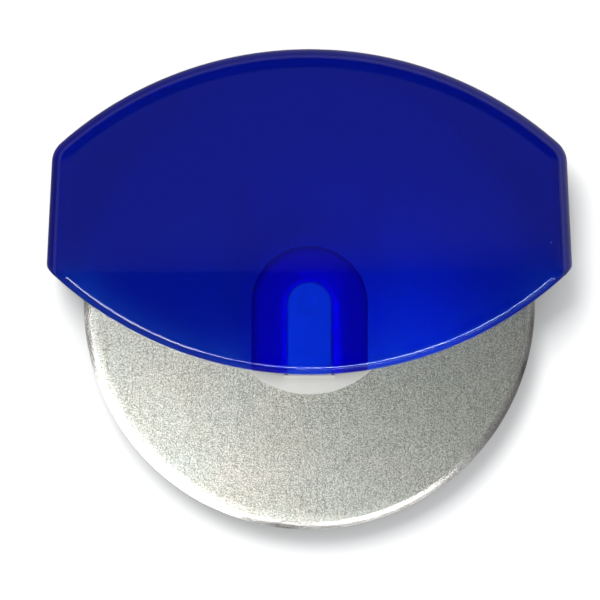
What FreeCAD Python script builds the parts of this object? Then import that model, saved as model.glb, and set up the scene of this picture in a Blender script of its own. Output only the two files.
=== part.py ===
import FreeCAD, Part
import math
import os
import Sketcher

# Palm-held pastry cutter wheel: a steel disc blade turning inside a translucent two-half handle.
# It is drawn lying on its rear face.  The origin is on the blade's axle in the plane of that rear
# face; +X runs along the handle's width, +Y from the axle up to the crown of the handle and +Z out
# of the front face.  Lengths are millimetres.  The blade's mid-plane is the parting plane of the
# handle, and every body is drawn about that plane and then lifted by half the handle's thickness.

V = FreeCAD.Vector

SIZES = [
    # alias, value, meaning
    ("half_depth", 11.0, "parting plane to the flat face of either shell"),
    ("arc_radius", 83.8, "radius of the crown arc and of the mouth arc"),
    ("crown_height", 56.8, "axle to the top of the crown arc"),
    ("mouth_drop", 15.7, "axle to the lowest point of the mouth arc"),
    ("side_distance", 58.9, "axle square to the straight side"),
    ("side_lean", 2.87, "lean of the side off the Y axis, degrees"),
    ("shoulder_radius", 6.0, "plan radius where the crown meets the side"),
    ("edge_round", 5.0, "rounding of the face edge over crown and sides"),
    ("mouth_round", 2.0, "rounding of the mouth edge and lower corners"),
    ("seam_chamfer", 0.15, "fine bevel along the parting line"),
    ("wall", 2.4, "wall thickness of the shells"),
    ("inner_round", 2.4, "rounding inside the cavity, under the outer edge"),
    ("mouth_overrun", 10.0, "how far the cavity cut runs past the mouth"),
    ("lap_width", 1.1, "thickness of the lap tongue at the parting plane"),
    ("lap_height", 1.1, "height of the lap tongue"),
    ("lap_end", 14.0, "axle up to the lower ends of the lap joint"),
    ("lap_gap", 0.06, "clearance round the lap tongue"),
    ("arch_radius", 12.9, "outer half width of the horseshoe boss"),
    ("slot_radius", 5.0, "half width of the keyway in the boss"),
    ("boss_level", 3.05, "parting plane to the near side of boss and ribs"),
    ("rib_inner", 14.2, "axle to the inner side of a guide rib"),
    ("rib_width", 1.4, "thickness of a guide rib"),
    ("rib_top", 26.4, "axle up to the top of a guide rib"),
    ("rib_drop", 5.2, "axle down to the foot of a guide rib"),
    ("blade_radius", 50.8, "cutting edge radius of the blade"),
    ("blade_thickness", 0.8, "thickness of the blade"),
    ("bevel_width", 1.7, "width of the ground bevel"),
    ("edge_thickness", 0.12, "thickness left at the cutting edge"),
    ("bore_radius", 6.05, "radius of the hole in the blade"),
    ("sleeve_radius", 6.0, "outer radius of the bearing sleeve"),
    ("sleeve_length", 1.1, "length of the bearing sleeve"),
    ("sleeve_bore", 2.45, "hole radius of the bearing sleeve"),
    ("disc_radius", 20.3, "radius of the carrier disc"),
    ("disc_thickness", 2.2, "thickness of the carrier disc"),
    ("disc_edge_round", 0.5, "rounding of the disc's outer edge"),
    ("tongue_radius", 4.85, "half width of the carrier tongue"),
    ("tongue_level", 8.3, "parting plane to the top of the tongue"),
    ("tongue_round", 0.35, "rounding of the tongue's top edge"),
    ("foot_width", 11.3, "width of the stop foot"),
    ("foot_thickness", 0.6, "thickness of the stop foot"),
    ("foot_gap", 0.05, "gap between the stop foot and the mouth arc"),
    ("pin_radius", 2.4, "radius of the axle pin"),
    ("pin_hole", 2.42, "radius of the pin hole in a carrier"),
    ("pin_half_length", 8.2, "parting plane to either end of the pin"),
    ("pin_chamfer", 0.3, "bevel on the ends of the pin"),
]


def fill_sheet(doc):
    """Write every driving size in the sheet, one row each, and give it its alias."""
    sheet = doc.addObject("Spreadsheet::Sheet", "Sizes")
    for row, (alias, value, meaning) in enumerate(SIZES, start=1):
        sheet.set(f"A{row}", alias)
        sheet.set(f"B{row}", str(value))
        sheet.set(f"C{row}", meaning)
        sheet.setAlias(f"B{row}", alias)
    doc.recompute()
    return sheet


def new_body(doc, name, turned=False):
    """A body lifted to the parting plane; a turned one faces the rear (half a turn about Y)."""
    body = doc.addObject("PartDesign::Body", name)
    body.Label = name
    if turned:
        body.Placement = FreeCAD.Placement(V(0, 0, 0), FreeCAD.Rotation(V(0, 1, 0), 180))
    body.setExpression("Placement.Base.z", "Sizes.half_depth")
    return body


def new_sketch(body, name, role="XY_Plane", level=None):
    """A sketch on one of the body's own origin planes, raised to a level given as an expression."""
    sketch = body.newObject("Sketcher::SketchObject", name)
    plane = [item for item in body.Origin.OriginFeatures if item.Role == role][0]
    sketch.AttachmentSupport = [(plane, "")]
    sketch.MapMode = "FlatFace"
    if level:
        sketch.setExpression("AttachmentOffset.Base.z", level)
    return sketch


def drive(sketch, label, expression, *constraint):
    """Add a dimension to a sketch and bind it to the sheet."""
    index = sketch.addConstraint(Sketcher.Constraint(*constraint))
    sketch.renameConstraint(index, label)
    sketch.setExpression("Constraints." + label, expression)


def relate(sketch, *constraints):
    """Add constraints that carry no size."""
    for constraint in constraints:
        sketch.addConstraint(Sketcher.Constraint(*constraint))


def segment(sketch, start, end):
    """Add a straight line between two (x, y) points."""
    return sketch.addGeometry(Part.LineSegment(V(*start, 0), V(*end, 0)), False)


def arc(sketch, centre, radius, start, end):
    """Add an arc running anticlockwise between two angles in radians."""
    circle = Part.Circle(V(*centre, 0), V(0, 0, 1), radius)
    return sketch.addGeometry(Part.ArcOfCircle(circle, start, end), False)


def ring(sketch, label, radius, expression):
    """Add a circle about the axle, its radius bound to the sheet."""
    circle = sketch.addGeometry(Part.Circle(V(0, 0, 0), V(0, 0, 1), radius), False)
    relate(sketch, ("Coincident", circle, 3, -1, 1))
    drive(sketch, label, expression, "Radius", circle, radius)


def extrude(body, kind, name, sketch, length, reverse=False):
    """Pad or pocket a sketch by a length bound to the sheet."""
    feature = body.newObject("PartDesign::" + kind, name)
    feature.Profile = sketch
    feature.setExpression("Length", length)
    feature.Reversed = reverse
    body.Document.recompute()
    return feature


def dress(body, kind, name, base, chosen, size):
    """Fillet or chamfer the edges of a feature that the chosen test accepts."""
    edges = base.Shape.Edges
    names = [f"Edge{i}" for i, edge in enumerate(edges, start=1) if chosen(edge)]
    feature = body.newObject("PartDesign::" + kind, name)
    feature.Base = (base, names)
    feature.setExpression("Radius" if kind == "Fillet" else "Size", size)
    body.Document.recompute()
    return feature


def at_level(edge, level):
    """Whether an edge lies flat at one height."""
    box = edge.BoundBox
    return abs(box.ZMin - level) < 1e-4 and abs(box.ZMax - level) < 1e-4


def mid_point(edge):
    """The point halfway along an edge's parameter range."""
    return edge.valueAt((edge.FirstParameter + edge.LastParameter) / 2)


def mouth_centre(sheet):
    """Centre of the mouth arc, above the axle."""
    return V(0, sheet.arc_radius - sheet.mouth_drop, 0)


def on_mouth(edge, sheet):
    """Whether an edge lies on the upright wall that follows the mouth arc."""
    centre = mouth_centre(sheet)
    points = [edge.valueAt(edge.FirstParameter), mid_point(edge), edge.valueAt(edge.LastParameter)]
    return all(abs(math.hypot(p.x, p.y - centre.y) - sheet.arc_radius) < 1e-3 for p in points)


def barrel(sheet, sketch, inset, inset_rule, floor=None):
    """
    The barrel outline of the handle, moved inwards by an inset.

    Crown arc, two shoulder arcs and two leaning sides; it is closed below by the mouth arc, or by a
    level line when floor gives (height above the axle, expression for that height's size).
    """
    lean = math.radians(sheet.side_lean)
    crown = V(0, sheet.crown_height - sheet.arc_radius, 0)
    crown_radius = sheet.arc_radius - inset
    turn_radius = sheet.shoulder_radius - inset
    normal = V(math.cos(lean), math.sin(lean), 0)
    along = V(-math.sin(lean), math.cos(lean), 0)

    def on_side(distance, centre, radius, way):
        """Point of the line at a distance from the axle that is a radius away from a centre."""
        foot = normal * distance - centre
        half = foot.dot(along)
        root = math.sqrt(half * half - foot.dot(foot) + radius * radius)
        return normal * distance + along * (-half + way * root)

    turn = on_side(sheet.side_distance - sheet.shoulder_radius, crown, crown_radius - turn_radius, 1)
    steep = math.atan2(turn.y - crown.y, turn.x)
    upper = turn + normal * turn_radius
    if floor:
        side_run = (floor[0] - normal.y * (sheet.side_distance - inset)) / along.y
        lower = normal * (sheet.side_distance - inset) + along * side_run
    else:
        lower = on_side(sheet.side_distance - inset, mouth_centre(sheet), sheet.arc_radius, -1)

    top = arc(sketch, (0, crown.y), crown_radius, steep, math.pi - steep)
    left_turn = arc(sketch, (-turn.x, turn.y), turn_radius, math.pi - steep, math.pi - lean)
    right_turn = arc(sketch, (turn.x, turn.y), turn_radius, lean, steep)
    left = segment(sketch, (-lower.x, lower.y), (-upper.x, upper.y))
    right = segment(sketch, (lower.x, lower.y), (upper.x, upper.y))
    relate(sketch,
           ("Tangent", top, 1, right_turn, 2),
           ("Tangent", top, 2, left_turn, 1),
           ("Tangent", left_turn, 2, left, 2),
           ("Tangent", right_turn, 1, right, 2),
           ("Equal", left_turn, right_turn),
           ("PointOnObject", top, 3, -2))
    drive(sketch, "crown_arc", f"Sizes.arc_radius - {inset_rule}", "Radius", top, crown_radius)
    drive(sketch, "crown_centre", "Sizes.arc_radius - Sizes.crown_height",
          "DistanceY", top, 3, -1, 1, -crown.y)
    drive(sketch, "turn_arc", f"Sizes.shoulder_radius - {inset_rule}",
          "Radius", left_turn, turn_radius)
    drive(sketch, "left_lean", "90 deg - Sizes.side_lean * 1 deg",
          "Angle", left, math.pi / 2 - lean)
    drive(sketch, "right_lean", "90 deg + Sizes.side_lean * 1 deg",
          "Angle", right, math.pi / 2 + lean)
    for label, side in (("left_out", left), ("right_out", right)):
        drive(sketch, label, f"Sizes.side_distance - {inset_rule}",
              "Distance", -1, 1, side, sheet.side_distance - inset)
    if floor:
        base = segment(sketch, (-lower.x, lower.y), (lower.x, lower.y))
        relate(sketch, ("Horizontal", base))
        ends = (base, 1, -1, 1) if floor[0] < 0 else (-1, 1, base, 1)
        drive(sketch, "floor_line", floor[1], "DistanceY", *ends, abs(floor[0]))
    else:
        centre = mouth_centre(sheet)
        reach = math.atan2(centre.y - lower.y, lower.x)
        base = arc(sketch, (0, centre.y), sheet.arc_radius, math.pi + reach, 2 * math.pi - reach)
        relate(sketch, ("PointOnObject", base, 3, -2))
        drive(sketch, "mouth_arc", "Sizes.arc_radius", "Radius", base, sheet.arc_radius)
        drive(sketch, "mouth_centre", "Sizes.arc_radius - Sizes.mouth_drop",
              "DistanceY", -1, 1, base, 3, centre.y)
    relate(sketch,
           ("Coincident", left, 1, base, 1),
           ("Coincident", right, 1, base, 2))


def shell_block(doc, sheet, name, turned):
    """The outside of one handle half: a barrel block with its face, mouth and seam edges rounded."""
    body = new_body(doc, name, turned)
    outline = new_sketch(body, name + "_outline")
    barrel(sheet, outline, 0.0, "0")
    block = extrude(body, "Pad", name + "_block", outline, "Sizes.half_depth")
    rounded = dress(body, "Fillet", name + "_face_round", block,
                    lambda e: at_level(e, sheet.half_depth) and not on_mouth(e, sheet),
                    "Sizes.edge_round")
    rounded = dress(body, "Fillet", name + "_mouth_round", rounded,
                    lambda e: on_mouth(e, sheet) and not at_level(e, 0.0),
                    "Sizes.mouth_round")
    dress(body, "Chamfer", name + "_seam", rounded,
          lambda e: at_level(e, 0.0), "Sizes.seam_chamfer")
    return body


def hollow_shell(body, sheet, name):
    """Open the cavity from the parting plane, leaving the wall, and round it inside."""
    cavity = new_sketch(body, name + "_cavity", level="-Sizes.lap_height")
    barrel(sheet, cavity, sheet.wall, "Sizes.wall",
           (-sheet.mouth_drop - sheet.mouth_overrun, "Sizes.mouth_drop + Sizes.mouth_overrun"))
    opened = extrude(body, "Pocket", name + "_open", cavity,
                     "Sizes.half_depth - Sizes.wall + Sizes.lap_height", reverse=True)
    ceiling = sheet.half_depth - sheet.wall
    dress(body, "Fillet", name + "_inner_round", opened,
          lambda e: at_level(e, ceiling) and not on_mouth(e, sheet),
          "Sizes.inner_round")


def add_boss(body, sheet, name):
    """The horseshoe boss round the axle; its keyway runs down and out through the mouth."""
    sketch = new_sketch(body, name + "_boss_plan", level="Sizes.boss_level")
    centre = mouth_centre(sheet)

    def foot(offset):
        """Point of the mouth arc under a given distance from the middle."""
        return (offset, centre.y - math.sqrt(sheet.arc_radius ** 2 - offset ** 2))

    def bearing(point):
        """Angle of a point seen from the centre of the mouth arc, in 0 to 2 pi."""
        return math.atan2(point[1] - centre.y, point[0]) + 2 * math.pi

    outer, inner = foot(sheet.arch_radius), foot(sheet.slot_radius)
    outer_left, inner_left = (-outer[0], outer[1]), (-inner[0], inner[1])
    arch = arc(sketch, (0, 0), sheet.arch_radius, 0, math.pi)
    slot = arc(sketch, (0, 0), sheet.slot_radius, 0, math.pi)
    sides = [segment(sketch, (point[0], 0), point)
             for point in (outer, inner, inner_left, outer_left)]
    right_foot = arc(sketch, (0, centre.y), sheet.arc_radius, bearing(inner), bearing(outer))
    left_foot = arc(sketch, (0, centre.y), sheet.arc_radius,
                    bearing(outer_left), bearing(inner_left))
    relate(sketch,
           ("Coincident", arch, 3, -1, 1),
           ("Coincident", slot, 3, -1, 1),
           ("Tangent", arch, 1, sides[0], 1),
           ("Tangent", slot, 1, sides[1], 1),
           ("Tangent", slot, 2, sides[2], 1),
           ("Tangent", arch, 2, sides[3], 1),
           ("Vertical", sides[0]),
           ("Vertical", sides[1]),
           ("Vertical", sides[2]),
           ("Vertical", sides[3]),
           ("Coincident", right_foot, 1, sides[1], 2),
           ("Coincident", right_foot, 2, sides[0], 2),
           ("Coincident", left_foot, 1, sides[3], 2),
           ("Coincident", left_foot, 2, sides[2], 2),
           ("PointOnObject", right_foot, 3, -2),
           ("Coincident", left_foot, 3, right_foot, 3))
    drive(sketch, "arch_size", "Sizes.arch_radius", "Radius", arch, sheet.arch_radius)
    drive(sketch, "slot_size", "Sizes.slot_radius", "Radius", slot, sheet.slot_radius)
    drive(sketch, "right_reach", "Sizes.arc_radius", "Radius", right_foot, sheet.arc_radius)
    drive(sketch, "left_reach", "Sizes.arc_radius", "Radius", left_foot, sheet.arc_radius)
    drive(sketch, "foot_centre", "Sizes.arc_radius - Sizes.mouth_drop",
          "DistanceY", -1, 1, right_foot, 3, centre.y)
    extrude(body, "Pad", name + "_boss", sketch,
            "Sizes.half_depth - Sizes.wall - Sizes.boss_level")


def box_plan(sketch, label, left, right, low, high):
    """A level rectangle; each side is (number, expression of its distance from the axle)."""
    corners = [(left[0], low[0]), (right[0], low[0]), (right[0], high[0]), (left[0], high[0])]
    sides = [segment(sketch, corners[i], corners[(i + 1) % 4]) for i in range(4)]
    for i in range(4):
        relate(sketch, ("Coincident", sides[i], 2, sides[(i + 1) % 4], 1))
    relate(sketch,
           ("Horizontal", sides[0]),
           ("Vertical", sides[1]),
           ("Horizontal", sides[2]),
           ("Vertical", sides[3]))
    edges = (("DistanceX", sides[3], left, "_left"), ("DistanceX", sides[1], right, "_right"),
             ("DistanceY", sides[0], low, "_low"), ("DistanceY", sides[2], high, "_high"))
    for kind, side, (number, expression), ending in edges:
        ends = (side, 1, -1, 1) if number < 0 else (-1, 1, side, 1)
        drive(sketch, label + ending, expression, kind, *ends, abs(number))


def add_ribs(body, sheet, name):
    """Two guide ribs standing on the face wall beside the boss."""
    near, far = sheet.rib_inner, sheet.rib_inner + sheet.rib_width
    low = (-sheet.rib_drop, "Sizes.rib_drop")
    high = (sheet.rib_top, "Sizes.rib_top")
    near_rule, far_rule = "Sizes.rib_inner", "Sizes.rib_inner + Sizes.rib_width"
    sketch = new_sketch(body, name + "_rib_plan", level="Sizes.boss_level")
    box_plan(sketch, "right_rib", (near, near_rule), (far, far_rule), low, high)
    box_plan(sketch, "left_rib", (-far, far_rule), (-near, near_rule), low, high)
    extrude(body, "Pad", name + "_ribs", sketch,
            "Sizes.half_depth - Sizes.wall - Sizes.boss_level")


def make_front_shell(doc, sheet):
    """Front half of the handle, with the lap tongue that enters the rear half."""
    name = "front_shell"
    body = shell_block(doc, sheet, name, turned=False)
    inset = sheet.wall - sheet.lap_width
    tongue = new_sketch(body, name + "_lap_plan", level="-Sizes.lap_height")
    barrel(sheet, tongue, inset, "(Sizes.wall - Sizes.lap_width)",
           (sheet.lap_end, "Sizes.lap_end"))
    extrude(body, "Pad", name + "_lap", tongue, "Sizes.lap_height * 2")
    hollow_shell(body, sheet, name)
    add_boss(body, sheet, name)
    add_ribs(body, sheet, name)
    return body


def make_rear_shell(doc, sheet):
    """Rear half of the handle, with the rebate that takes the lap tongue."""
    name = "rear_shell"
    body = shell_block(doc, sheet, name, turned=True)
    inset = sheet.wall - sheet.lap_width - sheet.lap_gap
    rebate = new_sketch(body, name + "_rebate_plan")
    barrel(sheet, rebate, inset, "(Sizes.wall - Sizes.lap_width - Sizes.lap_gap)",
           (sheet.lap_end - sheet.lap_gap, "Sizes.lap_end - Sizes.lap_gap"))
    extrude(body, "Pocket", name + "_rebate", rebate,
            "Sizes.lap_height + Sizes.lap_gap", reverse=True)
    hollow_shell(body, sheet, name)
    add_boss(body, sheet, name)
    add_ribs(body, sheet, name)
    return body


def make_cutter_wheel(doc, sheet):
    """The blade: a flat steel ring ground on both sides to a fine edge."""
    name = "cutter_wheel"
    body = new_body(doc, name)
    sketch = new_sketch(body, name + "_profile", role="XZ_Plane")
    half, edge = sheet.blade_thickness / 2, sheet.edge_thickness / 2
    bevel_start = sheet.blade_radius - sheet.bevel_width
    corners = [(sheet.bore_radius, -half), (bevel_start, -half), (sheet.blade_radius, -edge),
               (sheet.blade_radius, edge), (bevel_start, half), (sheet.bore_radius, half)]
    sides = [segment(sketch, corners[i], corners[(i + 1) % 6]) for i in range(6)]
    for i in range(6):
        relate(sketch, ("Coincident", sides[i], 2, sides[(i + 1) % 6], 1))
    relate(sketch,
           ("Horizontal", sides[0]),
           ("Horizontal", sides[4]),
           ("Symmetric", sides[2], 1, sides[2], 2, -1),
           ("Symmetric", sides[5], 1, sides[5], 2, -1),
           ("Equal", sides[0], sides[4]))
    drive(sketch, "bore", "Sizes.bore_radius", "DistanceX", -1, 1, sides[5], 1, sheet.bore_radius)
    drive(sketch, "reach", "Sizes.blade_radius",
          "DistanceX", -1, 1, sides[2], 1, sheet.blade_radius)
    drive(sketch, "bevel", "Sizes.blade_radius - Sizes.bevel_width",
          "DistanceX", -1, 1, sides[0], 2, bevel_start)
    drive(sketch, "edge", "Sizes.edge_thickness",
          "DistanceY", sides[2], 1, sides[2], 2, sheet.edge_thickness)
    drive(sketch, "plate", "Sizes.blade_thickness",
          "DistanceY", sides[5], 2, sides[5], 1, sheet.blade_thickness)
    turned = body.newObject("PartDesign::Revolution", name + "_turned")
    turned.Profile = sketch
    turned.ReferenceAxis = (sketch, ["V_Axis"])
    turned.Angle = 360
    doc.recompute()
    return body


def make_bearing_sleeve(doc, sheet):
    """The short sleeve on the pin that carries the blade and holds the two carriers apart."""
    name = "bearing_sleeve"
    body = new_body(doc, name)
    sketch = new_sketch(body, name + "_plan", level="-Sizes.sleeve_length / 2")
    ring(sketch, "outside", sheet.sleeve_radius, "Sizes.sleeve_radius")
    ring(sketch, "inside", sheet.sleeve_bore, "Sizes.sleeve_bore")
    extrude(body, "Pad", name + "_ring", sketch, "Sizes.sleeve_length")
    return body


def make_axle_pin(doc, sheet):
    """The plastic pin pressed through both carriers, bevelled at each end."""
    name = "axle_pin"
    body = new_body(doc, name)
    sketch = new_sketch(body, name + "_plan", level="-Sizes.pin_half_length")
    ring(sketch, "outside", sheet.pin_radius, "Sizes.pin_radius")
    rod = extrude(body, "Pad", name + "_rod", sketch, "Sizes.pin_half_length * 2")
    dress(body, "Chamfer", name + "_ends", rod,
          lambda e: at_level(e, sheet.pin_half_length) or at_level(e, -sheet.pin_half_length),
          "Sizes.pin_chamfer")
    return body


def make_carrier(doc, sheet, name, turned):
    """
    One half of the blade carrier: a disc against the blade, a keyed tongue that slides in the
    handle's keyway, and a foot that stops against the mouth.
    """
    body = new_body(doc, name, turned)
    plan = new_sketch(body, name + "_disc_plan", level="Sizes.sleeve_length / 2")
    ring(plan, "rim", sheet.disc_radius, "Sizes.disc_radius")
    disc = extrude(body, "Pad", name + "_disc", plan, "Sizes.disc_thickness")
    face = sheet.sleeve_length / 2 + sheet.disc_thickness
    dress(body, "Fillet", name + "_rim_round", disc,
          lambda e: at_level(e, face), "Sizes.disc_edge_round")

    face_rule = "Sizes.sleeve_length / 2 + Sizes.disc_thickness"
    plan = new_sketch(body, name + "_tongue_plan", level=face_rule + " - 0.5")
    drop = sheet.mouth_drop + sheet.foot_gap
    half = sheet.tongue_radius
    crown = arc(plan, (0, 0), half, 0, math.pi)
    left = segment(plan, (-half, 0), (-half, -drop))
    base = segment(plan, (-half, -drop), (half, -drop))
    right = segment(plan, (half, -drop), (half, 0))
    relate(plan,
           ("Coincident", crown, 3, -1, 1),
           ("Tangent", crown, 2, left, 1),
           ("Tangent", crown, 1, right, 2),
           ("Coincident", left, 2, base, 1),
           ("Coincident", base, 2, right, 1),
           ("Vertical", left),
           ("Vertical", right),
           ("Horizontal", base))
    drive(plan, "half_width", "Sizes.tongue_radius", "Radius", crown, half)
    drive(plan, "drop", "Sizes.mouth_drop + Sizes.foot_gap", "DistanceY", base, 1, -1, 1, drop)
    tongue = extrude(body, "Pad", name + "_tongue", plan,
                     "Sizes.tongue_level - (" + face_rule + ") + 0.5")
    dress(body, "Fillet", name + "_tongue_round", tongue,
          lambda e: at_level(e, sheet.tongue_level) and mid_point(e).y > -drop + 0.1,
          "Sizes.tongue_round")

    plan = new_sketch(body, name + "_foot_plan", level=face_rule + " - 0.5")
    wide = (sheet.foot_width / 2, "Sizes.foot_width / 2")
    box_plan(plan, "foot", (-wide[0], wide[1]), wide,
             (-drop - sheet.foot_thickness,
              "Sizes.mouth_drop + Sizes.foot_gap + Sizes.foot_thickness"),
             (-drop, "Sizes.mouth_drop + Sizes.foot_gap"))
    extrude(body, "Pad", name + "_foot", plan,
            "Sizes.tongue_level - (" + face_rule + ") + 0.5")

    plan = new_sketch(body, name + "_hole_plan")
    ring(plan, "hole", sheet.pin_hole, "Sizes.pin_hole")
    extrude(body, "Pocket", name + "_hole", plan, "Sizes.half_depth", reverse=True)
    return body


def check(doc, bodies):
    """Stop on any object in error and on any empty or broken solid."""
    for item in doc.Objects:
        if "Invalid" in item.State or "Error" in item.State:
            raise ValueError(f"{item.Name} is in error: {item.State}")
    for body in bodies:
        shape = body.Shape
        if shape.isNull() or not shape.isValid() or len(shape.Solids) != 1:
            raise ValueError(f"{body.Label} is not one valid solid")


def write_steps(bodies):
    """One STEP file per sub-part, in the shared frame."""
    os.makedirs("parts", exist_ok=True)
    for body in bodies:
        body.Shape.exportStep(f"parts/{body.Label}.step")
        box = body.Shape.BoundBox
        print(f"{body.Label:15s} volume {body.Shape.Volume:9.1f} mm3   "
              f"x {box.XMin:7.2f} {box.XMax:7.2f}   y {box.YMin:7.2f} {box.YMax:7.2f}   "
              f"z {box.ZMin:6.2f} {box.ZMax:6.2f}")


def main():
    doc = FreeCAD.newDocument("PastryCutterWheel")
    sheet = fill_sheet(doc)
    bodies = [
        make_front_shell(doc, sheet),
        make_rear_shell(doc, sheet),
        make_cutter_wheel(doc, sheet),
        make_carrier(doc, sheet, "front_carrier", turned=False),
        make_carrier(doc, sheet, "rear_carrier", turned=True),
        make_bearing_sleeve(doc, sheet),
        make_axle_pin(doc, sheet),
    ]
    doc.recompute()
    check(doc, bodies)
    write_steps(bodies)


main()
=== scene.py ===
import math
import bmesh
import bpy
import numpy as np
from mathutils.geometry import tessellate_polygon
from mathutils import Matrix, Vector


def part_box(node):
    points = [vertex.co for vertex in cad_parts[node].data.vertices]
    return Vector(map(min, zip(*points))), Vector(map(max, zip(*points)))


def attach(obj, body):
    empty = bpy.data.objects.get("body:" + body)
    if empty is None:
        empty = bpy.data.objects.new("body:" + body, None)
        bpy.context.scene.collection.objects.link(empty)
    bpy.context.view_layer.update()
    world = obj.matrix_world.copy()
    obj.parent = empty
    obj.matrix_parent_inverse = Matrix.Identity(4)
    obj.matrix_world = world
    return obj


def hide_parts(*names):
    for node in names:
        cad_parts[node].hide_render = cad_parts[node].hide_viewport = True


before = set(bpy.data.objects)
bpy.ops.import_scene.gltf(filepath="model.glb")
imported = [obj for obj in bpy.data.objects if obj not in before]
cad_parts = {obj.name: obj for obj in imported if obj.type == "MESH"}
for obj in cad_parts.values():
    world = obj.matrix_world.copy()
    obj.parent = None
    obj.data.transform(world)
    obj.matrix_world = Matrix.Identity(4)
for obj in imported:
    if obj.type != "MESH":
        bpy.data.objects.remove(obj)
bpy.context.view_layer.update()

# %% [markdown]
# ## A palm-held pastry cutter
# The real tool is a steel disc that turns between two white plastic carriers, and a deep blue
# see-through handle that the carriers slide into. A person pushes down on the crown of the handle
# and rolls the disc through dough.
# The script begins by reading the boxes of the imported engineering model. Typing every place in
# again would soon drift away from it. Only what a box can't tell, such as a radius or a wall, is
# written down here.

# %% Read the engineering model
MM = 0.001
front_low, front_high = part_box("front_shell")
blade_low, blade_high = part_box("cutter_wheel")
disc_low, disc_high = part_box("front_carrier")
pin_low, pin_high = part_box("axle_pin")
sleeve_low, sleeve_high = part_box("bearing_sleeve")

seam_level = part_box("rear_shell")[1][2]
half_depth = front_high[2] - seam_level
crown_height = front_high[1]
mouth_drop = -front_low[1]
blade_radius = blade_high[0]
print("seam at", round(seam_level / MM, 2), "mm, crown", round(crown_height / MM, 2), "mm")

# %% [markdown]
# ## The outline of the handle
# Seen from the front the handle is a barrel: a crown arc, two tight shoulders, two leaning sides
# and a mouth arc. It could be drawn as one spline, but a spline only comes near to an arc.
# Here each stretch is worked out exactly, from where circles and lines touch each other. The
# outline also takes an inset, so the same function gives the outside, the inside and every level
# of the rounded edge between them.

# %% Outline values
ARC_RADIUS = 83.8 * MM
SIDE_DISTANCE = 58.9 * MM
SIDE_LEAN = math.radians(2.87)
SHOULDER_RADIUS = 6.0 * MM
CORNER_RADIUS = 2.0 * MM
SIDE_NORMAL = np.array([math.cos(SIDE_LEAN), math.sin(SIDE_LEAN)])
SIDE_ALONG = np.array([-math.sin(SIDE_LEAN), math.cos(SIDE_LEAN)])
CROWN_CENTRE = np.array([0.0, crown_height - ARC_RADIUS])
MOUTH_CENTRE = np.array([0.0, ARC_RADIUS - mouth_drop])


# %% Where a leaning line meets a circle
def on_side(distance, centre, radius, way):
    """Point of the side line at a distance from the axle that is one radius from a centre.

    Formula: start at distance times the line's normal, then go along the line by the root of the
    quadratic |start + along * step - centre| = radius; way picks the upper or the lower root.
    """
    distance, radius = np.broadcast_arrays(np.asarray(distance, float), np.asarray(radius, float))
    start = distance[..., None] * SIDE_NORMAL
    reach = start - centre
    middle = (reach * SIDE_ALONG).sum(-1)
    root = np.sqrt(middle ** 2 - (reach ** 2).sum(-1) + radius ** 2)
    return start + (-middle + way * root)[..., None] * SIDE_ALONG


def arc_points(centre, radius, first, last, count):
    """Points on an arc: centre plus radius times (cos, sin) of an angle that runs evenly."""
    first, last = np.asarray(first, float)[..., None], np.asarray(last, float)[..., None]
    angle = first + (last - first) * np.linspace(0.0, 1.0, count)
    spoke = np.stack([np.cos(angle), np.sin(angle)], -1)
    return np.asarray(centre)[..., None, :] + np.asarray(radius, float)[..., None, None] * spoke


def straight_points(start, end, count):
    """Points shared out evenly along a straight line, without its two ends."""
    step = np.linspace(0.0, 1.0, count + 2)[1:-1, None]
    return start[..., None, :] + (end - start)[..., None, :] * step


def mirrored(half_path):
    """A path that ends on the middle line, followed by its mirror image back down the left."""
    other = half_path[..., ::-1, :] * np.array([-1.0, 1.0])
    return np.concatenate([half_path, other[..., 1:, :]], axis=-2)


# %% [markdown]
# ## Levels of the handle
# One half of the handle is a stack of level slices. Low down the slices are all alike, and near
# the face they shrink along a quarter circle, which makes the soft edge that sits in the palm.
# The crown and sides shrink by a 5 mm round and the mouth by a 2 mm round. Giving those two insets
# separately avoids the overlaps that a plain offset makes in the tight lower corners.

# %% Side path and mouth path of every level
CORNER_STEPS, SIDE_STEPS, SHOULDER_STEPS, CROWN_STEPS = 9, 14, 13, 64
crown_turn = on_side(SIDE_DISTANCE - SHOULDER_RADIUS, CROWN_CENTRE, ARC_RADIUS - SHOULDER_RADIUS, 1)
STEEP = math.atan2(crown_turn[1] - CROWN_CENTRE[1], crown_turn[0] - CROWN_CENTRE[0])


def upper_half_path(inset):
    """Right half of side, shoulder and crown for an array of insets, from low down to the middle.

    Formula: the shoulder's centre stays put; its radius and the crown's radius lose the inset.
    """
    turn = np.broadcast_to(crown_turn, inset.shape + (2,))
    shoulder = arc_points(turn, SHOULDER_RADIUS - inset, np.full(inset.shape, SIDE_LEAN),
                          np.full(inset.shape, STEEP), SHOULDER_STEPS)
    centre = np.broadcast_to(CROWN_CENTRE, inset.shape + (2,))
    crown = arc_points(centre, ARC_RADIUS - inset, np.full(inset.shape, STEEP),
                       np.full(inset.shape, math.pi / 2), CROWN_STEPS)
    return shoulder, crown


def outer_path(inset, mouth_inset):
    """Outer outline from the right lower corner over the crown to the left lower corner."""
    inner_circle = ARC_RADIUS - mouth_inset - CORNER_RADIUS
    corner = on_side(SIDE_DISTANCE - inset - CORNER_RADIUS, MOUTH_CENTRE, inner_circle, -1)
    from_mouth = corner - MOUTH_CENTRE
    low_angle = np.arctan2(from_mouth[..., 1], from_mouth[..., 0])
    turn = arc_points(corner, np.full(inset.shape, CORNER_RADIUS), low_angle,
                      np.full(inset.shape, SIDE_LEAN), CORNER_STEPS)
    shoulder, crown = upper_half_path(inset)
    side = straight_points(turn[..., -1, :], shoulder[..., 0, :], SIDE_STEPS)
    return mirrored(np.concatenate([turn, side, shoulder, crown[..., 1:, :]], axis=-2))


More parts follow.
